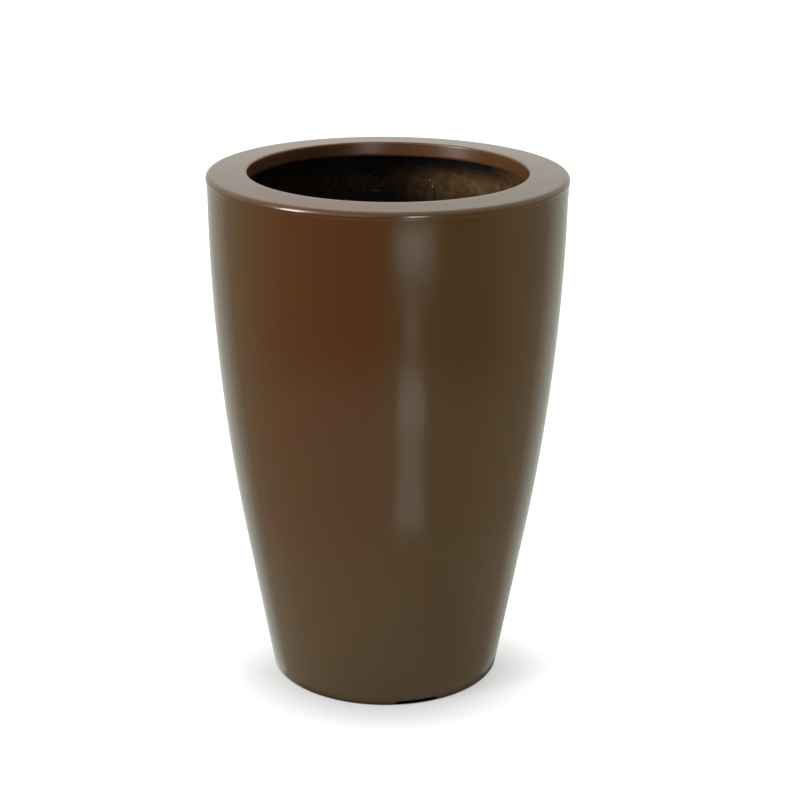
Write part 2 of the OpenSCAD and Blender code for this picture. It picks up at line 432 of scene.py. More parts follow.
def wall_section():
    """The wall, from its rough inner face over the top, down its outer face and round the foot."""
    inner_low_z = 1 * MM
    inner = along_face(WALL_T, inner_low_z, WALL_H, ROW_IN)
    filler_z = WALL_H - FILLER_H
    filled = [(r + filler(z), z) for r, z in along_face(0, WALL_H, filler_z, ROW_IN)]
    outer = filled + along_face(0, filler_z, FOOT_EDGE_R * (1 - math.sin(TAPER)), ROW_OUT)[1:]
    foot_c = (face_r(FOOT_EDGE_R, FOOT_EDGE_R), FOOT_EDGE_R)
    corner = arc(foot_c, FOOT_EDGE_R, -math.degrees(TAPER), -90)[1:]
    return (with_rawness([(face_r(WALL_T, 0), 0)], 0) + with_rawness(inner[:-1], 1)
            + with_rawness(inner[-1:] + outer + corner, 0))


def rim_section():
    """The rim, from its lip over its underside, skirt, tuck on the wall, nose and top to its crest."""
    slope = math.radians(RIM_SLOPE)
    lip_c = (MOUTH_R + RIM_T / 2, HEIGHT - LIP_DROP + RIM_T / 2)
    crest_c = (MOUTH_R + LIP_LEAN + CREST_R, HEIGHT - CREST_R)
    nose_c = (RIM_R - NOSE_R, WALL_H + NOSE_TUCK)
    top_z = nose_c[1] + NOSE_R * math.cos(slope)
    nose_top_r = nose_c[0] + NOSE_R * math.sin(slope)
    skirt_out_r = WALL_TOP_R - WALL_T - BOND_T
    skirt_in_r = skirt_out_r - RIM_T

    def underside(r):
        return (r, top_z + (nose_top_r - r) * math.tan(slope) - RIM_T / math.cos(slope))

    tuck_r = WALL_TOP_R + FILLER_T
    tuck = [(tuck_r + (RIM_R - tuck_r) * (1 - math.cos(math.pi * i / ARC_STEPS)) / 2,
             WALL_H + NOSE_TUCK * i / ARC_STEPS) for i in range(ARC_STEPS)]
    lip_end = arc(lip_c, RIM_T / 2, 180, 360)
    channel = [lip_end[-1], underside(MOUTH_R + RIM_T), underside(skirt_in_r), (skirt_in_r, SKIRT_Z)]
    channel = along(channel, ROW_IN)[1:]
    nose = arc(nose_c, NOSE_R, 0, 90 - RIM_SLOPE, 2 * ARC_STEPS)
    crest = arc(crest_c, CREST_R, 90 - RIM_SLOPE, 180)
    top = along([nose[-1], crest[0]], ROW_OUT / 2)[1:-1]
    lip_face = along([crest[-1], lip_end[0]], ROW_IN / 2)[1:-1]
    outline = (with_rawness(lip_end, 0) + with_rawness(channel[:-1], CHANNEL_RAWNESS)
               + with_rawness(channel[-1:] + [(skirt_out_r, SKIRT_Z), (skirt_out_r, WALL_H)], 0)
               + with_rawness(tuck + nose + top + crest + lip_face, 0))
    return outline[::-1]


def feathered(start, end_z, inset):
    """An outline that eases from a tape's point, down or up the wall, until it is nearly flush with it."""
    steps = max(2, round(abs(end_z - start[1]) / ROW_IN))
    points = []
    for i in range(1, steps + 1):
        z = start[1] + (end_z - start[1]) * i / steps
        ease = (1 - math.cos(math.pi * i / steps)) / 2
        points.append((start[0] + (face_r(inset, z) - start[0]) * ease, z))
    return points


def rim_tape_section():
    """Glass tape from the inside of the skirt, round its end and down the wall."""
    skirt_in_r = WALL_TOP_R - WALL_T - BOND_T - RIM_T
    tape_in_r = skirt_in_r - TAPE_T
    lap_top = WALL_H - RIM_T
    bare = along([(tape_in_r, lap_top), (tape_in_r, SKIRT_Z)], ROW_IN)
    bare += feathered(bare[-1], TAPE_Z, WALL_T + FEATHER_T)
    back = [(skirt_in_r, lap_top), (skirt_in_r, SKIRT_Z), (face_r(WALL_T, SKIRT_Z), SKIRT_Z)]
    back += along_face(WALL_T, SKIRT_Z, TAPE_Z, ROW_OUT)[1:]
    return with_rawness(bare[::-1], 1) + with_rawness(back, 0)


def tray_section():
    """The dished floor and its upturned flange."""
    out = WALL_T + BOND_T
    back = out + TRAY_T
    edge_z = FLOOR_Z + FLOOR_FALL
    seat_end_r = SEAT_R + 1 * MM
    inside = along([(DRAIN_R, FLOOR_Z + TRAY_T), (SEAT_R, FLOOR_Z + TRAY_T),
                    (face_r(back, edge_z + TRAY_T), edge_z + TRAY_T)], ROW_IN)
    flange = along_face(back, edge_z + TRAY_T, FLANGE_Z, ROW_IN)[1:]
    outside = along_face(out, FLANGE_Z, edge_z, ROW_IN)
    under = along([outside[-1], (SEAT_R, FLOOR_Z), (DRAIN_R, FLOOR_Z)], ROW_IN)[1:]
    seat = [p for p in inside if p[0] <= seat_end_r]
    dish = [p for p in inside if p[0] > seat_end_r]
    return (with_rawness(seat, 0) + with_rawness(dish + flange[:-1], 1)
            + with_rawness(flange[-1:] + outside, 0) + with_rawness(under[:-1], UNDERSIDE_RAWNESS)
            + with_rawness(under[-1:], 0))


def floor_tape_section():
    """Glass tape from the inside of the flange, round its end and up the wall."""
    back = WALL_T + BOND_T + TRAY_T
    low_z = (FLOOR_Z + FLOOR_FALL + FLANGE_Z) / 2
    inner = along_face(back + TAPE_T, low_z, FLANGE_Z, ROW_IN)
    lap = feathered(inner[-1], FLOOR_LAP_Z, WALL_T + FEATHER_T)
    outer = along_face(WALL_T, FLOOR_LAP_Z, FLANGE_Z, ROW_OUT) + along_face(back, FLANGE_Z, low_z, ROW_OUT)
    return with_rawness(inner + lap, 1) + with_rawness(outer, 0)


def plug_section():
    """The plug, an open outline from the middle of its knob, down round its flange, to its tail."""
    tail_r = DRAIN_R - PLUG_GAP
    seat_z = PLUG_LOW_Z + PLUG_TAIL + TRAY_T
    tip = PLUG_TAIL / 2
    flange_top = seat_z + PLUG_FLANGE_T
    flange_c = (PLUG_FLANGE_R - PLUG_FLANGE_T / 2, seat_z + PLUG_FLANGE_T / 2)
    knob_h = PLUG_HIGH_Z - flange_top
    head_r = knob_h / 4
    head_c = (KNOB_R - head_r, PLUG_HIGH_Z - head_r)
    neck_c = (head_c[0] + head_r / 2, flange_top + head_r / 2)
    outline = [(0, PLUG_LOW_Z), (tail_r - tip, PLUG_LOW_Z), (tail_r, PLUG_LOW_Z + tip), (tail_r, seat_z)]
    outline += [(flange_c[0], seat_z)] + arc(flange_c, PLUG_FLANGE_T / 2, -90, 90)[1:]
    outline += arc(neck_c, head_r / 2, 270, 180) + arc(head_c, head_r, -60, 90) + [(0, PLUG_HIGH_Z)]
    return with_rawness(outline[::-1], 0)


# Turning a section round Z


def group_input(tree, name, kind, value=None):
    """A named input of a geometry tree."""
    socket = tree.interface.new_socket(name, in_out="INPUT", socket_type="NodeSocket" + kind)
    if value is not None:
        socket.default_value = value


def new_geometry_tree(name, sizes):
    """A geometry tree with a named input for each size, and its input and output nodes."""
    tree = bpy.data.node_groups.new(name, "GeometryNodeTree")
    group_input(tree, "Geometry", "Geometry")
    for label, (kind, value) in sizes.items():
        group_input(tree, label, kind, value)
    tree.interface.new_socket("Geometry", in_out="OUTPUT", socket_type="NodeSocketGeometry")
    return tree, node(tree, "NodeGroupInput").outputs


def turning_tree():
    """Sweep a section round Z, roughen its raw faces, and cut shallow notches in its lowest edge."""
    weld = 0.01 * MM
    coarse_share = 0.8
    coarse_times = 3
    crease = math.radians(35)
    tree, given = new_geometry_tree("turned_moulding", {
        "Steps Round": ("Int", STEPS_ROUND),
        "Lump Height": ("Float", 0.0),
        "Lump Size": ("Float", 10 * MM),
        "Wave Height": ("Float", 0.0),
        "Wave Size": ("Float", 90 * MM),
        "Seed": ("Float", 0.0),
        "Notch Count": ("Int", 0),
        "Notch Width": ("Float", NOTCH_W),
        "Notch Depth": ("Float", NOTCH_DEPTH),
        "Notch Azimuth": ("Float", math.radians(NOTCH_AZIMUTH)),
        "Foot Radius": ("Float", FOOT_R),
        "Material": ("Material", None),
    })
    path = node(tree, "GeometryNodeCurvePrimitiveCircle", {"Resolution": given["Steps Round"],
                                                           "Radius": MOUTH_R})
    profile = node(tree, "GeometryNodeMeshToCurve", {"Mesh": given["Geometry"]})
    swept = node(tree, "GeometryNodeCurveToMesh", {"Curve": path, "Profile Curve": profile})
    joined = node(tree, "GeometryNodeMergeByDistance", {"Geometry": swept, "Distance": weld})

    # Fine and coarse lumps on the raw faces, and long shallow waves on the moulded ones
    place = node(tree, "GeometryNodeInputPosition")
    normal = node(tree, "GeometryNodeInputNormal")
    raw = node(tree, "GeometryNodeInputNamedAttribute", {"Name": "rawness"}, data_type="FLOAT").outputs[0]
    coarse_height = node(tree, "ShaderNodeMath", (given["Lump Height"], coarse_share), operation="MULTIPLY")
    coarse_size = node(tree, "ShaderNodeMath", (given["Lump Size"], coarse_times), operation="MULTIPLY")
    lumps = []
    for height, size in ((given["Lump Height"], given["Lump Size"]), (coarse_height, coarse_size)):
        scale = node(tree, "ShaderNodeMath", (1.0, size), operation="DIVIDE")
        noise = node(tree, "ShaderNodeTexNoise", {
            "Vector": place, "W": given["Seed"], "Scale": scale, "Detail": 2.0,
        }, noise_dimensions="4D").outputs["Fac"]
        centred = node(tree, "ShaderNodeMath", (noise, 0.5), operation="SUBTRACT")
        lumps.append(node(tree, "ShaderNodeMath", (centred, height), operation="MULTIPLY"))
    lump = node(tree, "ShaderNodeMath", lumps, operation="ADD")
    lump = node(tree, "ShaderNodeMath", (lump, raw), operation="MULTIPLY")
    scale = node(tree, "ShaderNodeMath", (1.0, given["Wave Size"]), operation="DIVIDE")
    wave = node(tree, "ShaderNodeTexNoise", {
        "Vector": place, "W": given["Seed"], "Scale": scale, "Detail": 0.0,
    }, noise_dimensions="4D").outputs["Fac"]
    wave = node(tree, "ShaderNodeMath", (wave, given["Wave Height"]), operation="MULTIPLY")
    smooth = node(tree, "ShaderNodeMath", (1.0, raw), operation="SUBTRACT")
    wave = node(tree, "ShaderNodeMath", (wave, smooth), operation="MULTIPLY")
    wave = node(tree, "ShaderNodeMath", (wave, -1.0), operation="MULTIPLY")
    outward = node(tree, "ShaderNodeMath", (lump, wave), operation="ADD")
    offset = node(tree, "ShaderNodeVectorMath", {0: normal, "Scale": outward}, operation="SCALE")
    rough = node(tree, "GeometryNodeSetPosition", {"Geometry": joined, "Offset": offset})

    # Notches with round ends, as the height that the lowest edge has at each azimuth
    parts = node(tree, "ShaderNodeSeparateXYZ", {"Vector": place}).outputs
    azimuth = node(tree, "ShaderNodeMath", (parts["Y"], parts["X"]), operation="ARCTAN2")
    azimuth = node(tree, "ShaderNodeMath", (azimuth, given["Notch Azimuth"]), operation="SUBTRACT")
    pitch = node(tree, "ShaderNodeMath", (math.tau, given["Notch Count"]), operation="DIVIDE")
    half_pitch = node(tree, "ShaderNodeMath", (pitch, 0.5), operation="MULTIPLY")
    off_notch = node(tree, "ShaderNodeMath", (azimuth, half_pitch), operation="PINGPONG")
    aside = node(tree, "ShaderNodeMath", (off_notch, given["Foot Radius"]), operation="MULTIPLY")
    half_width = node(tree, "ShaderNodeMath", (given["Notch Width"], 0.5), operation="MULTIPLY")
    flat_half = node(tree, "ShaderNodeMath", (half_width, given["Notch Depth"]), operation="SUBTRACT")
    past_flat = node(tree, "ShaderNodeMath", (aside, flat_half), operation="SUBTRACT")
    past_flat = node(tree, "ShaderNodeMath", (past_flat, 0.0), operation="MAXIMUM")
    depth_squared = node(tree, "ShaderNodeMath", (given["Notch Depth"], 2.0), operation="POWER")
    past_squared = node(tree, "ShaderNodeMath", (past_flat, 2.0), operation="POWER")
    drop = node(tree, "ShaderNodeMath", (depth_squared, past_squared), operation="SUBTRACT")
    drop = node(tree, "ShaderNodeMath", (drop, 0.0), operation="MAXIMUM")
    notch_z = node(tree, "ShaderNodeMath", (drop,), operation="SQRT")
    has_notch = node(tree, "ShaderNodeMath", (given["Notch Count"], 0.5), operation="GREATER_THAN")
    edge_z = node(tree, "ShaderNodeMath", (notch_z, has_notch), operation="MULTIPLY")
    above_edge = node(tree, "ShaderNodeMath", (parts["Z"], edge_z), operation="SUBTRACT")
    marked = node(tree, "GeometryNodeStoreNamedAttribute", {
        "Geometry": rough, "Name": "above_edge", "Value": above_edge,
    }, data_type="FLOAT", domain="POINT")
    lifted_z = node(tree, "ShaderNodeMath", (parts["Z"], edge_z), operation="MAXIMUM")
    lifted = node(tree, "ShaderNodeCombineXYZ", {"X": parts["X"], "Y": parts["Y"], "Z": lifted_z})
    notched = node(tree, "GeometryNodeSetPosition", {"Geometry": marked, "Position": lifted})

    angle = node(tree, "GeometryNodeInputMeshEdgeAngle").outputs["Unsigned Angle"]
    soft = node(tree, "FunctionNodeCompare", (angle, crease), operation="LESS_THAN")
    shaded = node(tree, "GeometryNodeSetShadeSmooth", {"Geometry": notched, "Shade Smooth": soft},
                  domain="EDGE")
    real = node(tree, "GeometryNodeRealizeInstances", {"Geometry": shaded})
    done = node(tree, "GeometryNodeSetMaterial", {"Geometry": real, "Material": given["Material"]})
    node(tree, "NodeGroupOutput", {"Geometry": done})
    return tree


def section_object(name, section, closed):
    """The outline of a section as a mesh of edges, laid out for the sweep round the path circle."""
    mesh = bpy.data.meshes.new(name)
    count = len(section)
    edges = [(i, (i + 1) % count) for i in range(count if closed else count - 1)]
    mesh.from_pydata([(r - MOUTH_R, -z, 0) for r, z, _ in section], edges, [])
    rawness = mesh.attributes.new("rawness", "FLOAT", "POINT")
    rawness.data.foreach_set("value", [raw for _, _, raw in section])
    made = bpy.data.objects.new(name, mesh)
    bpy.context.scene.collection.objects.link(made)
    return made


def evaluate(made, tree, sizes):
    """Run a geometry tree on an object, keep the result as its plain mesh and take the modifier off."""
    modifier = made.modifiers.new(tree.name, "NODES")
    modifier.node_group = tree
    sockets = {s.name: s.identifier for s in tree.interface.items_tree if s.in_out == "INPUT"}
    for label, value in sizes.items():
        modifier[sockets[label]] = value
    bpy.context.view_layer.update()
    shown = made.evaluated_get(bpy.context.evaluated_depsgraph_get())
    mesh = bpy.data.meshes.new_from_object(shown)
    made.modifiers.clear()
    made.data = mesh


TURNING = turning_tree()


def turned(name, section, material, node_name, closed=True, **sizes):
    """A piece turned from a section, which stands for one part of the model and rides on its body."""
    made = section_object(name, section, closed)
    evaluate(made, TURNING, {"Material": material, **{k.replace("_", " "): v for k, v in sizes.items()}})
    body = frame["nodes"][node_name]["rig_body"]
    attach(made, body)
    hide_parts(node_name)
    return made


wall = turned("planter_wall", wall_section(), PAINT, "body_shell", Lump_Height=1.1 * MM, Lump_Size=11 * MM,
              Wave_Height=0.12 * MM, Notch_Count=NOTCH_COUNT, Seed=1.0)
rim = turned("planter_rim", rim_section(), PAINT, "rim_ring", Lump_Height=0.8 * MM, Lump_Size=11 * MM,
             Wave_Height=0.06 * MM, Seed=2.0)
rim_tape = turned("rim_glass_tape", rim_tape_section(), LAMINATE, "rim_joint_tape", Lump_Height=0.9 * MM,
                  Lump_Size=9 * MM, Seed=3.0)
tray = turned("floor_dish", tray_section(), LAMINATE, "floor_tray", Lump_Height=0.9 * MM, Lump_Size=12 * MM,
              Seed=4.0)
floor_tape = turned("floor_glass_tape", floor_tape_section(), LAMINATE, "floor_joint_tape",
                    Lump_Height=0.9 * MM, Lump_Size=9 * MM, Seed=5.0)
plug = turned("rubber_drain_plug", plug_section(), RUBBER, "drain_plug", closed=False,
              Steps_Round=PLUG_STEPS_ROUND)


def laminate_inside(piece):
    """Give the raw faces of a painted moulding the laminate's material, as its second one."""
    mesh = piece.data
    mesh.materials.append(LAMINATE)
    raw = mesh.attributes["rawness"].data
    for face in mesh.polygons:
        if min(raw[v].value for v in face.vertices) > LAMINATE_RAWNESS:
            face.material_index = 1


laminate_inside(wall)
laminate_inside(rim)


# Glass strands of the mat, which lie under the resin and print through on every raw face


def strand_tree():
    """Scatter ribbons over the raw faces of a piece, bend them, and lay them down on it.

    A ribbon is thickest in its middle, and thins out to its sides and its ends.
    """
    bend_size = 38 * MM
    side_fall = 4.8
    end_fall = 3.6
    tree, given = new_geometry_tree("mat_strands", {
        "Surface": ("Object", None),
        "Strands Per Area": ("Float", 5000.0),
        "Shortest": ("Float", 25 * MM),
        "Longest": ("Float", 50 * MM),
        "Width": ("Float", 1.3 * MM),
        "Thickness": ("Float", 0.45 * MM),
        "Wander": ("Float", 14 * MM),
        "Seed": ("Int", 0),
        "Material": ("Material", None),
    })
    surface = node(tree, "GeometryNodeObjectInfo", {"Object": given["Surface"]}).outputs["Geometry"]
    raw = node(tree, "GeometryNodeInputNamedAttribute", {"Name": "rawness"}, data_type="FLOAT").outputs[0]
    is_raw = node(tree, "FunctionNodeCompare", (raw, STRAND_RAWNESS), operation="GREATER_THAN")
    faces = node(tree, "GeometryNodeSeparateGeometry", {"Geometry": surface, "Selection": is_raw},
                 domain="FACE")
    spread = node(tree, "GeometryNodeDistributePointsOnFaces", {
        "Mesh": faces, "Density": given["Strands Per Area"], "Seed": given["Seed"],
    })
    turn = node(tree, "FunctionNodeRandomValue", {2: 0.0, 3: math.tau, "Seed": given["Seed"]},
                data_type="FLOAT")
    turn = node(tree, "ShaderNodeCombineXYZ", {"Z": turn.outputs[1]})
    spin = node(tree, "FunctionNodeEulerToRotation", (turn,))
    facing = node(tree, "FunctionNodeRotateRotation", (spread.outputs["Rotation"], spin),
                  rotation_space="LOCAL")
    length = node(tree, "FunctionNodeRandomValue", {
        2: given["Shortest"], 3: given["Longest"], "Seed": 7,
    }, data_type="FLOAT")
    size = node(tree, "ShaderNodeCombineXYZ", {"X": length.outputs[1], "Y": given["Width"], "Z": 1.0})
    ribbon = node(tree, "GeometryNodeMeshGrid", {"Size X": 1.0, "Size Y": 1.0, "Vertices X": 13,
                                                 "Vertices Y": 3}).outputs["Mesh"]
    place = node(tree, "GeometryNodeInputPosition")
    parts = node(tree, "ShaderNodeSeparateXYZ", {"Vector": place}).outputs
    for name, share in (("across", parts["Y"]), ("along", parts["X"])):
        ribbon = node(tree, "GeometryNodeStoreNamedAttribute", {
            "Geometry": ribbon, "Name": name, "Value": share,
        }, data_type="FLOAT", domain="POINT")
    laid = node(tree, "GeometryNodeInstanceOnPoints", {
        "Points": spread.outputs["Points"], "Instance": ribbon, "Rotation": facing, "Scale": size,
    })
    lot = node(tree, "FunctionNodeRandomValue", {2: 0.0, 3: 1000.0, "Seed": 3}, data_type="FLOAT")
    marked = node(tree, "GeometryNodeStoreNamedAttribute", {
        "Geometry": laid, "Name": "lot", "Value": lot.outputs[1],
    }, data_type="FLOAT", domain="INSTANCE")
    real = node(tree, "GeometryNodeRealizeInstances", {"Geometry": marked})
    across, lengthwise, own_lot = [
        node(tree, "GeometryNodeInputNamedAttribute", {"Name": name}, data_type="FLOAT").outputs[0]
        for name in ("across", "along", "lot")
    ]

    bend = node(tree, "ShaderNodeTexNoise", {
        "Vector": place, "W": own_lot, "Scale": 1 / bend_size, "Detail": 0.0,
    }, noise_dimensions="4D").outputs["Color"]
    bend = node(tree, "ShaderNodeVectorMath", (bend, (0.5, 0.5, 0.5)), operation="SUBTRACT")
    bend = node(tree, "ShaderNodeVectorMath", {0: bend, "Scale": given["Wander"]}, operation="SCALE")
    bent = node(tree, "GeometryNodeSetPosition", {"Geometry": real, "Offset": bend})
    nearest = node(tree, "GeometryNodeProximity", (faces,), target_element="FACES")
    upright = node(tree, "GeometryNodeSampleNearestSurface", {
        0: faces, "Value": node(tree, "GeometryNodeInputNormal"),
    }, data_type="FLOAT_VECTOR")
    thinned = []
    for share, fall in ((across, side_fall), (lengthwise, end_fall)):
        squared = node(tree, "ShaderNodeMath", (share, share), operation="MULTIPLY")
        lost = node(tree, "ShaderNodeMath", (squared, fall), operation="MULTIPLY")
        thinned.append(node(tree, "ShaderNodeMath", (1.0, lost), operation="SUBTRACT"))
    crown = node(tree, "ShaderNodeMath", thinned, operation="MULTIPLY")
    crown = node(tree, "ShaderNodeMath", (crown, given["Thickness"]), operation="MULTIPLY")
    lift = node(tree, "ShaderNodeVectorMath", {0: upright.outputs["Value"], "Scale": crown},
                operation="SCALE")
    down = node(tree, "ShaderNodeVectorMath", (nearest.outputs["Position"], lift), operation="ADD")
    pressed = node(tree, "GeometryNodeSetPosition", {"Geometry": bent, "Position": down})
    shaded = node(tree, "GeometryNodeSetShadeSmooth", {"Geometry": pressed, "Shade Smooth": True})
    whole = node(tree, "GeometryNodeRealizeInstances", {"Geometry": shaded})
    done = node(tree, "GeometryNodeSetMaterial", {"Geometry": whole, "Material": given["Material"]})
    node(tree, "NodeGroupOutput", {"Geometry": done})
    return tree


STRAND_TREE = strand_tree()


def strands(name, surface, density, seed):
    """The strands that print through on one piece, with their density in strands to a square metre."""
    made = bpy.data.objects.new(name, bpy.data.meshes.new(name))
    bpy.context.scene.collection.objects.link(made)
    evaluate(made, STRAND_TREE, {"Surface": surface, "Strands Per Area": density, "Seed": seed,
                                 "Material": STRANDS})
    made.data.materials.clear()
    made.data.materials.append(STRANDS)
    made.data.polygons.foreach_set("material_index", [0] * len(made.data.polygons))
    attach(made, surface["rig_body"])


strands("wall_mat_strands", wall, 6200.0, 11)
strands("rim_tape_strands", rim_tape, 9000.0, 12)
strands("floor_mat_strands", tray, 8000.0, 13)
strands("floor_tape_strands", floor_tape, 9000.0, 14)

for bead in ("rim_bond_bead", "floor_bond_bead"):
    frame["nodes"][bead].data.materials.clear()
    frame["nodes"][bead].data.materials.append(PASTE)


# Camera, at the photograph's place, in metres and degrees

CAMERA_BACK = 2.0923
CAMERA_UP = 1.0466
CAMERA_PITCH = 18.97
CAMERA_YAW = -0.43
CAMERA_ROLL = 0.52
LENS_MM = 85.3
camera_data = bpy.data.cameras.new("camera")
camera_data.lens = LENS_MM
camera = bpy.data.objects.new("camera", camera_data)
bpy.context.scene.collection.objects.link(camera)
aim = Euler((math.radians(90 - CAMERA_PITCH), 0, math.radians(CAMERA_YAW))).to_matrix().to_4x4()
camera.matrix_world = (Matrix.Translation((0, -CAMERA_BACK, CAMERA_UP)) @ aim
                       @ Matrix.Rotation(math.radians(CAMERA_ROLL), 4, "Z"))
bpy.context.scene.camera = camera


# Studio


def softbox(name, azimuth, distance, height, size, power, aim_z=None, glossy=True, diffuse=True,
            shape="RECTANGLE"):
    """An area lamp, turned to the planter, or lying face up where it has no height to aim at.

    Azimuth is counted from the front, to the right, in degrees. Power is in watts.
    """
    data = bpy.data.lights.new(name, "AREA")
    data.shape = shape
    data.size, data.size_y = size
    data.energy = power
    lamp = bpy.data.objects.new(name, data)
    a = math.radians(azimuth)
    lamp.location = (distance * math.sin(a), -distance * math.cos(a), height)
    if aim_z is None:
        lamp.rotation_euler = (math.pi, 0, a)
    else:
        lamp.rotation_euler = (Vector((0, 0, aim_z)) - lamp.location).to_track_quat("-Z", "Y").to_euler()
    lamp.visible_camera = False
    lamp.visible_glossy = glossy
    lamp.visible_diffuse = diffuse
    bpy.context.scene.collection.objects.link(lamp)


# Where diffuse is off, a lamp only shows in the paint's gloss, and where glossy is off, it only lights
softbox("key_softbox", -60, 3.4, 1.4, (0.9, 1.16), 88, 0.45)
softbox("key_spill", -60, 3.4, 2.8, (1.3, 1.3), 36, 0.6, diffuse=False)
softbox("left_wall_bounce", -45, 3.6, 2.3, (5.6, 3.0), 52, 0.6, diffuse=False)
softbox("fill_softbox", 16, 1.7, 0.92, (0.3, 0.36), 7.0, 0.45, diffuse=False)
softbox("fill_foot", 15.5, 1.7, 0.23, (0.68, 0.09), 0.78, 0.45, diffuse=False, shape="ELLIPSE")
softbox("fill_foot_spill", 16, 1.7, 0.09, (0.9, 0.1), 0.3, 0.45, diffuse=False, shape="ELLIPSE")
softbox("low_glow_back", 15, 1.35, 0.01, (0.2, 0.3), 0.17, diffuse=False)
softbox("low_glow_far", 15, 0.9, 0.01, (0.24, 0.3), 0.29, diffuse=False)
softbox("low_glow_near", 15, 0.58, 0.01, (0.16, 0.28), 0.11, diffuse=False)
softbox("side_panel", 70, 2.0, 0.26, (1.4, 0.5), 16.5, 0.26, glossy=False)
softbox("overhead_softbox", 0, 0.0, 6.0, (1.3, 1.3), 150, 0.0, glossy=False)


# What gloss sees of the floor is tinted very slightly green, and the room very slightly warm
STUDIO_TINT = (0.97, 1.02, 0.93, 1.0)
SWEEP_TINT = (1.0, 0.975, 0.92, 1.0)


def mirrored_floor(tree, parts, far):
    """What gloss sees of the floor: pale behind the planter, and dim in front and under its foot."""
    # Levels round the planter, from the front, at 0, to the back, at 1
    side_r = 130 * MM
    side_y = -60 * MM
    stops = ((0.0, 0.03), (0.2, 0.06), (0.475, 0.25), (0.685, 0.32), (0.9, 0.82), (1.0, 0.95))
    # A wide pool of light, and a small one round the foot
    pool_r = 0.88
    pool_end_r = 1.24
    pool_level = 0.33
    foot_pool_r = 0.13
    foot_pool_end_r = 0.5
    foot_pool_level = 0.18
    # A painted contact shadow this wide lies round the foot, except at the left
    dark_ring = 8 * MM
    # Shares of the level that are left where it is dimmed as painted shade: at the right, near the foot and
    # further out, and far to the left
    right_x = 0.05
    right_end_x = 0.15
    near_r = 0.16
    near_end_r = 0.38
    near_share = 0.6
    far_share = 0.88
    left_x = -0.6
    left_end_x = -1.0
    left_share = 0.88

    beside = node(tree, "ShaderNodeMath", (parts["X"],), operation="ABSOLUTE")
    beside = node(tree, "ShaderNodeMath", (beside, side_r), operation="SUBTRACT")
    beside = node(tree, "ShaderNodeMath", (beside, 0.0), operation="MAXIMUM")
    back = node(tree, "ShaderNodeMath", (parts["Y"], side_y), operation="SUBTRACT")
    beside_squared = node(tree, "ShaderNodeMath", (beside, beside), operation="MULTIPLY")
    back_squared = node(tree, "ShaderNodeMath", (back, back), operation="MULTIPLY")
    reach = node(tree, "ShaderNodeMath", (beside_squared, back_squared), operation="ADD")
    reach = node(tree, "ShaderNodeMath", (reach,), operation="SQRT")
    turn = node(tree, "ShaderNodeMath", (back, reach), operation="DIVIDE")
    turn = node(tree, "ShaderNodeMapRange", (turn, -1.0, 1.0, 0.0, 1.0))
    sweep = node(tree, "ShaderNodeValToRGB", {"Fac": turn})
    sweep.color_ramp.interpolation = "EASE"
    for spot, _ in stops[1:-1]:
        sweep.color_ramp.elements.new(spot)
    for element, (spot, level) in zip(sweep.color_ramp.elements, stops):
        element.position = spot
        element.color = (level, level, level, 1.0)

    pool = node(tree, "ShaderNodeMapRange", (far, pool_r, pool_end_r, pool_level, 0.0),
                interpolation_type="SMOOTHSTEP")
    foot_pool = node(tree, "ShaderNodeMapRange", (far, foot_pool_r, foot_pool_end_r, foot_pool_level, 0.0))
    pool = node(tree, "ShaderNodeMath", (pool, foot_pool), operation="ADD")
    level = node(tree, "ShaderNodeMath", (sweep, pool), operation="MAXIMUM")
    near = node(tree, "ShaderNodeMapRange", (far, near_r, near_end_r, near_share, far_share))
    right = node(tree, "ShaderNodeMapRange", (parts["X"], right_x, right_end_x, 1.0, near))
    left = node(tree, "ShaderNodeMapRange", (parts["X"], left_x, left_end_x, 1.0, left_share))
    clear = node(tree, "ShaderNodeMapRange", (far, FOOT_R, FOOT_R + dark_ring, 0.0, 1.0))
    at_left = node(tree, "ShaderNodeMapRange", (parts["X"], -FOOT_SHADE_X, -FOOT_SHADE_END_X, 0.0, 1.0))
    clear = node(tree, "ShaderNodeMath", (clear, at_left), operation="MAXIMUM")
    for share in (right, left, clear):
        level = node(tree, "ShaderNodeMath", (level, share), operation="MULTIPLY")
    return node(tree, "ShaderNodeEmission", {"Color": STUDIO_TINT, "Strength": level})


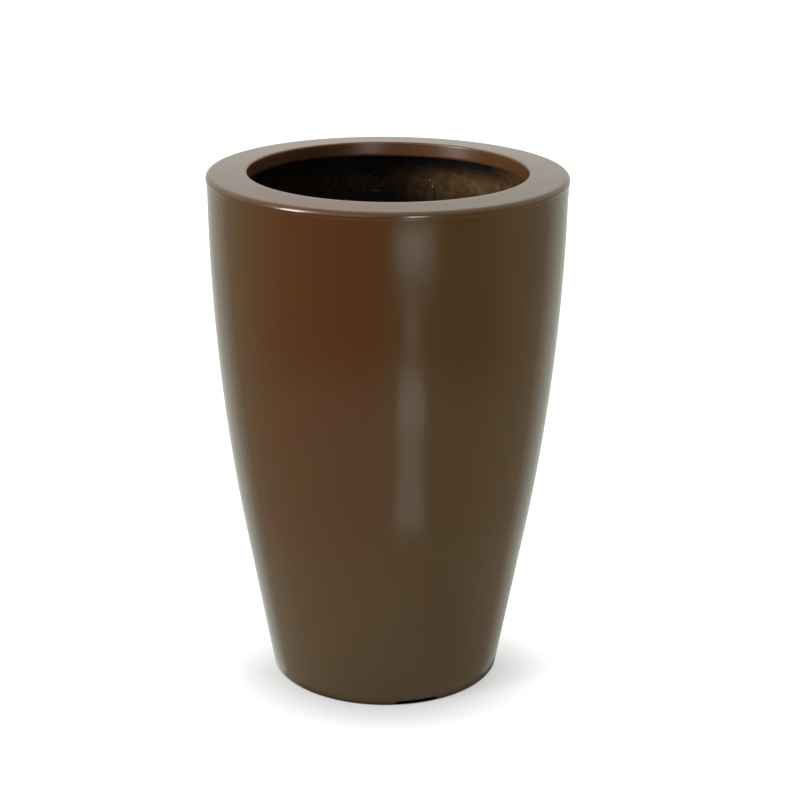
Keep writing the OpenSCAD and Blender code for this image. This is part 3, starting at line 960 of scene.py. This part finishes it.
def seen_floor(tree, parts, far):
    """What the camera and the diffuse light see of the floor: lit to white, with the planter's shadow."""
    contact_in = 2.5 * MM
    contact_out = 0.5 * MM
    shadow_reach = 185 * MM
    # The shadow is deeper in front than at the back, and on the right it slants backwards
    slant = 0.15
    front_y = -0.055
    back_y = 0.03
    front_depth = 0.485
    back_depth = 0.21
    card_level = 0.8
    seen_card_level = 0.36

    # A painted contact shadow: the floor is black under the foot's edge, for the camera and for the light
    # it throws back
    contact = node(tree, "ShaderNodeMapRange", (far, FOOT_R - contact_in, FOOT_R + contact_out, 0.0, 1.0))
    # The planter's shadow round the foot is painted into the glow, over a weak real shadow on the card
    shade = node(tree, "ShaderNodeMapRange", (far, FOOT_R, FOOT_R + shadow_reach, 1.0, 0.0))
    shade = node(tree, "ShaderNodeMath", (shade, shade), operation="MULTIPLY")
    to_right = node(tree, "ShaderNodeMath", (parts["X"], 0.0), operation="MAXIMUM")
    slanted = node(tree, "ShaderNodeMath", (to_right, slant), operation="MULTIPLY")
    behind = node(tree, "ShaderNodeMath", (parts["Y"], slanted), operation="SUBTRACT")
    depth = node(tree, "ShaderNodeMapRange", (behind, front_y, back_y, front_depth, back_depth))
    shade = node(tree, "ShaderNodeMath", (shade, depth), operation="MULTIPLY")
    halo = node(tree, "ShaderNodeMath", (1.0, shade), operation="SUBTRACT")
    glow = node(tree, "ShaderNodeMath", (contact, halo), operation="MULTIPLY")
    glow = node(tree, "ShaderNodeEmission", {"Color": (1, 1, 1, 1), "Strength": glow})
    card = node(tree, "ShaderNodeMath", (contact, card_level), operation="MULTIPLY")
    card = node(tree, "ShaderNodeBsdfDiffuse", {"Color": card})
    seen_card = node(tree, "ShaderNodeMath", (contact, seen_card_level), operation="MULTIPLY")
    seen_card = node(tree, "ShaderNodeBsdfDiffuse", {"Color": seen_card})
    seen = node(tree, "ShaderNodeAddShader", (seen_card, glow))
    to_camera = node(tree, "ShaderNodeLightPath").outputs["Is Camera Ray"]
    return node(tree, "ShaderNodeMixShader", (to_camera, card, seen))


def studio_floor():
    """A pale floor, which gloss sees in another way than the camera does. From below it can't be seen."""
    material = bpy.data.materials.new("studio_floor")
    material.use_nodes = True
    tree = material.node_tree
    tree.nodes.clear()
    place = node(tree, "ShaderNodeTexCoord").outputs["Object"]
    far = node(tree, "ShaderNodeVectorMath", (place,), operation="LENGTH").outputs["Value"]
    parts = node(tree, "ShaderNodeSeparateXYZ", {"Vector": place}).outputs
    to_gloss = node(tree, "ShaderNodeLightPath").outputs["Is Glossy Ray"]
    seen = seen_floor(tree, parts, far)
    mirrored = mirrored_floor(tree, parts, far)
    both = node(tree, "ShaderNodeMixShader", (to_gloss, seen, mirrored))
    from_below = node(tree, "ShaderNodeNewGeometry").outputs["Backfacing"]
    clear = node(tree, "ShaderNodeBsdfTransparent")
    shown = node(tree, "ShaderNodeMixShader", (from_below, both, clear))
    node(tree, "ShaderNodeOutputMaterial", {"Surface": shown})
    return material


FLOOR_HALF = 20
corners = [(x * FLOOR_HALF, y * FLOOR_HALF, 0) for x, y in ((-1, -1), (1, -1), (1, 1), (-1, 1))]
floor_mesh = bpy.data.meshes.new("studio_floor")
floor_mesh.from_pydata(corners, [], [(0, 1, 2, 3)])
floor_mesh.materials.append(studio_floor())
floor = bpy.data.objects.new("studio_floor", floor_mesh)
bpy.context.scene.collection.objects.link(floor)


def studio_world():
    """White to the camera, and a dim room with a white sweep behind the planter for all other rays.

    Gloss sees the sweep fade out further, up to the front, and so the rim's rounded edge shines.
    """
    sweep_start = 0.6
    sweep_end = 1.05
    room_level = 0.02
    sweep_level = 0.94
    fade_start = -0.6
    fade_end = 0.75
    fade_level = 0.9
    world = bpy.data.worlds.new("studio")
    world.use_nodes = True
    tree = world.node_tree
    tree.nodes.clear()
    path = node(tree, "ShaderNodeLightPath").outputs
    way = node(tree, "ShaderNodeTexCoord").outputs["Generated"]
    way = node(tree, "ShaderNodeSeparateXYZ", {"Vector": way}).outputs
    up_back = node(tree, "ShaderNodeMath", (way["Y"], way["Z"]), operation="ADD")
    sweep = node(tree, "ShaderNodeMapRange", (up_back, sweep_start, sweep_end, room_level, sweep_level),
                 interpolation_type="SMOOTHSTEP")
    fade = node(tree, "ShaderNodeMapRange", (up_back, fade_start, fade_end, 0.0, fade_level))
    mirrored = node(tree, "ShaderNodeMath", (fade, path["Is Glossy Ray"]), operation="MULTIPLY")
    room = node(tree, "ShaderNodeMath", (sweep, mirrored), operation="MAXIMUM")
    shown = node(tree, "ShaderNodeMix", {0: path["Is Camera Ray"], 2: room, 3: 1.0})
    tint = node(tree, "ShaderNodeMix", {"Factor": path["Is Camera Ray"], 6: SWEEP_TINT, 7: (1, 1, 1, 1)},
                data_type="RGBA")
    light = node(tree, "ShaderNodeBackground", {"Color": tint.outputs[2], "Strength": shown})
    node(tree, "ShaderNodeOutputWorld", {"Surface": light})
    bpy.context.scene.world = world


studio_world()
bpy.context.scene.view_settings.view_transform = "Standard"
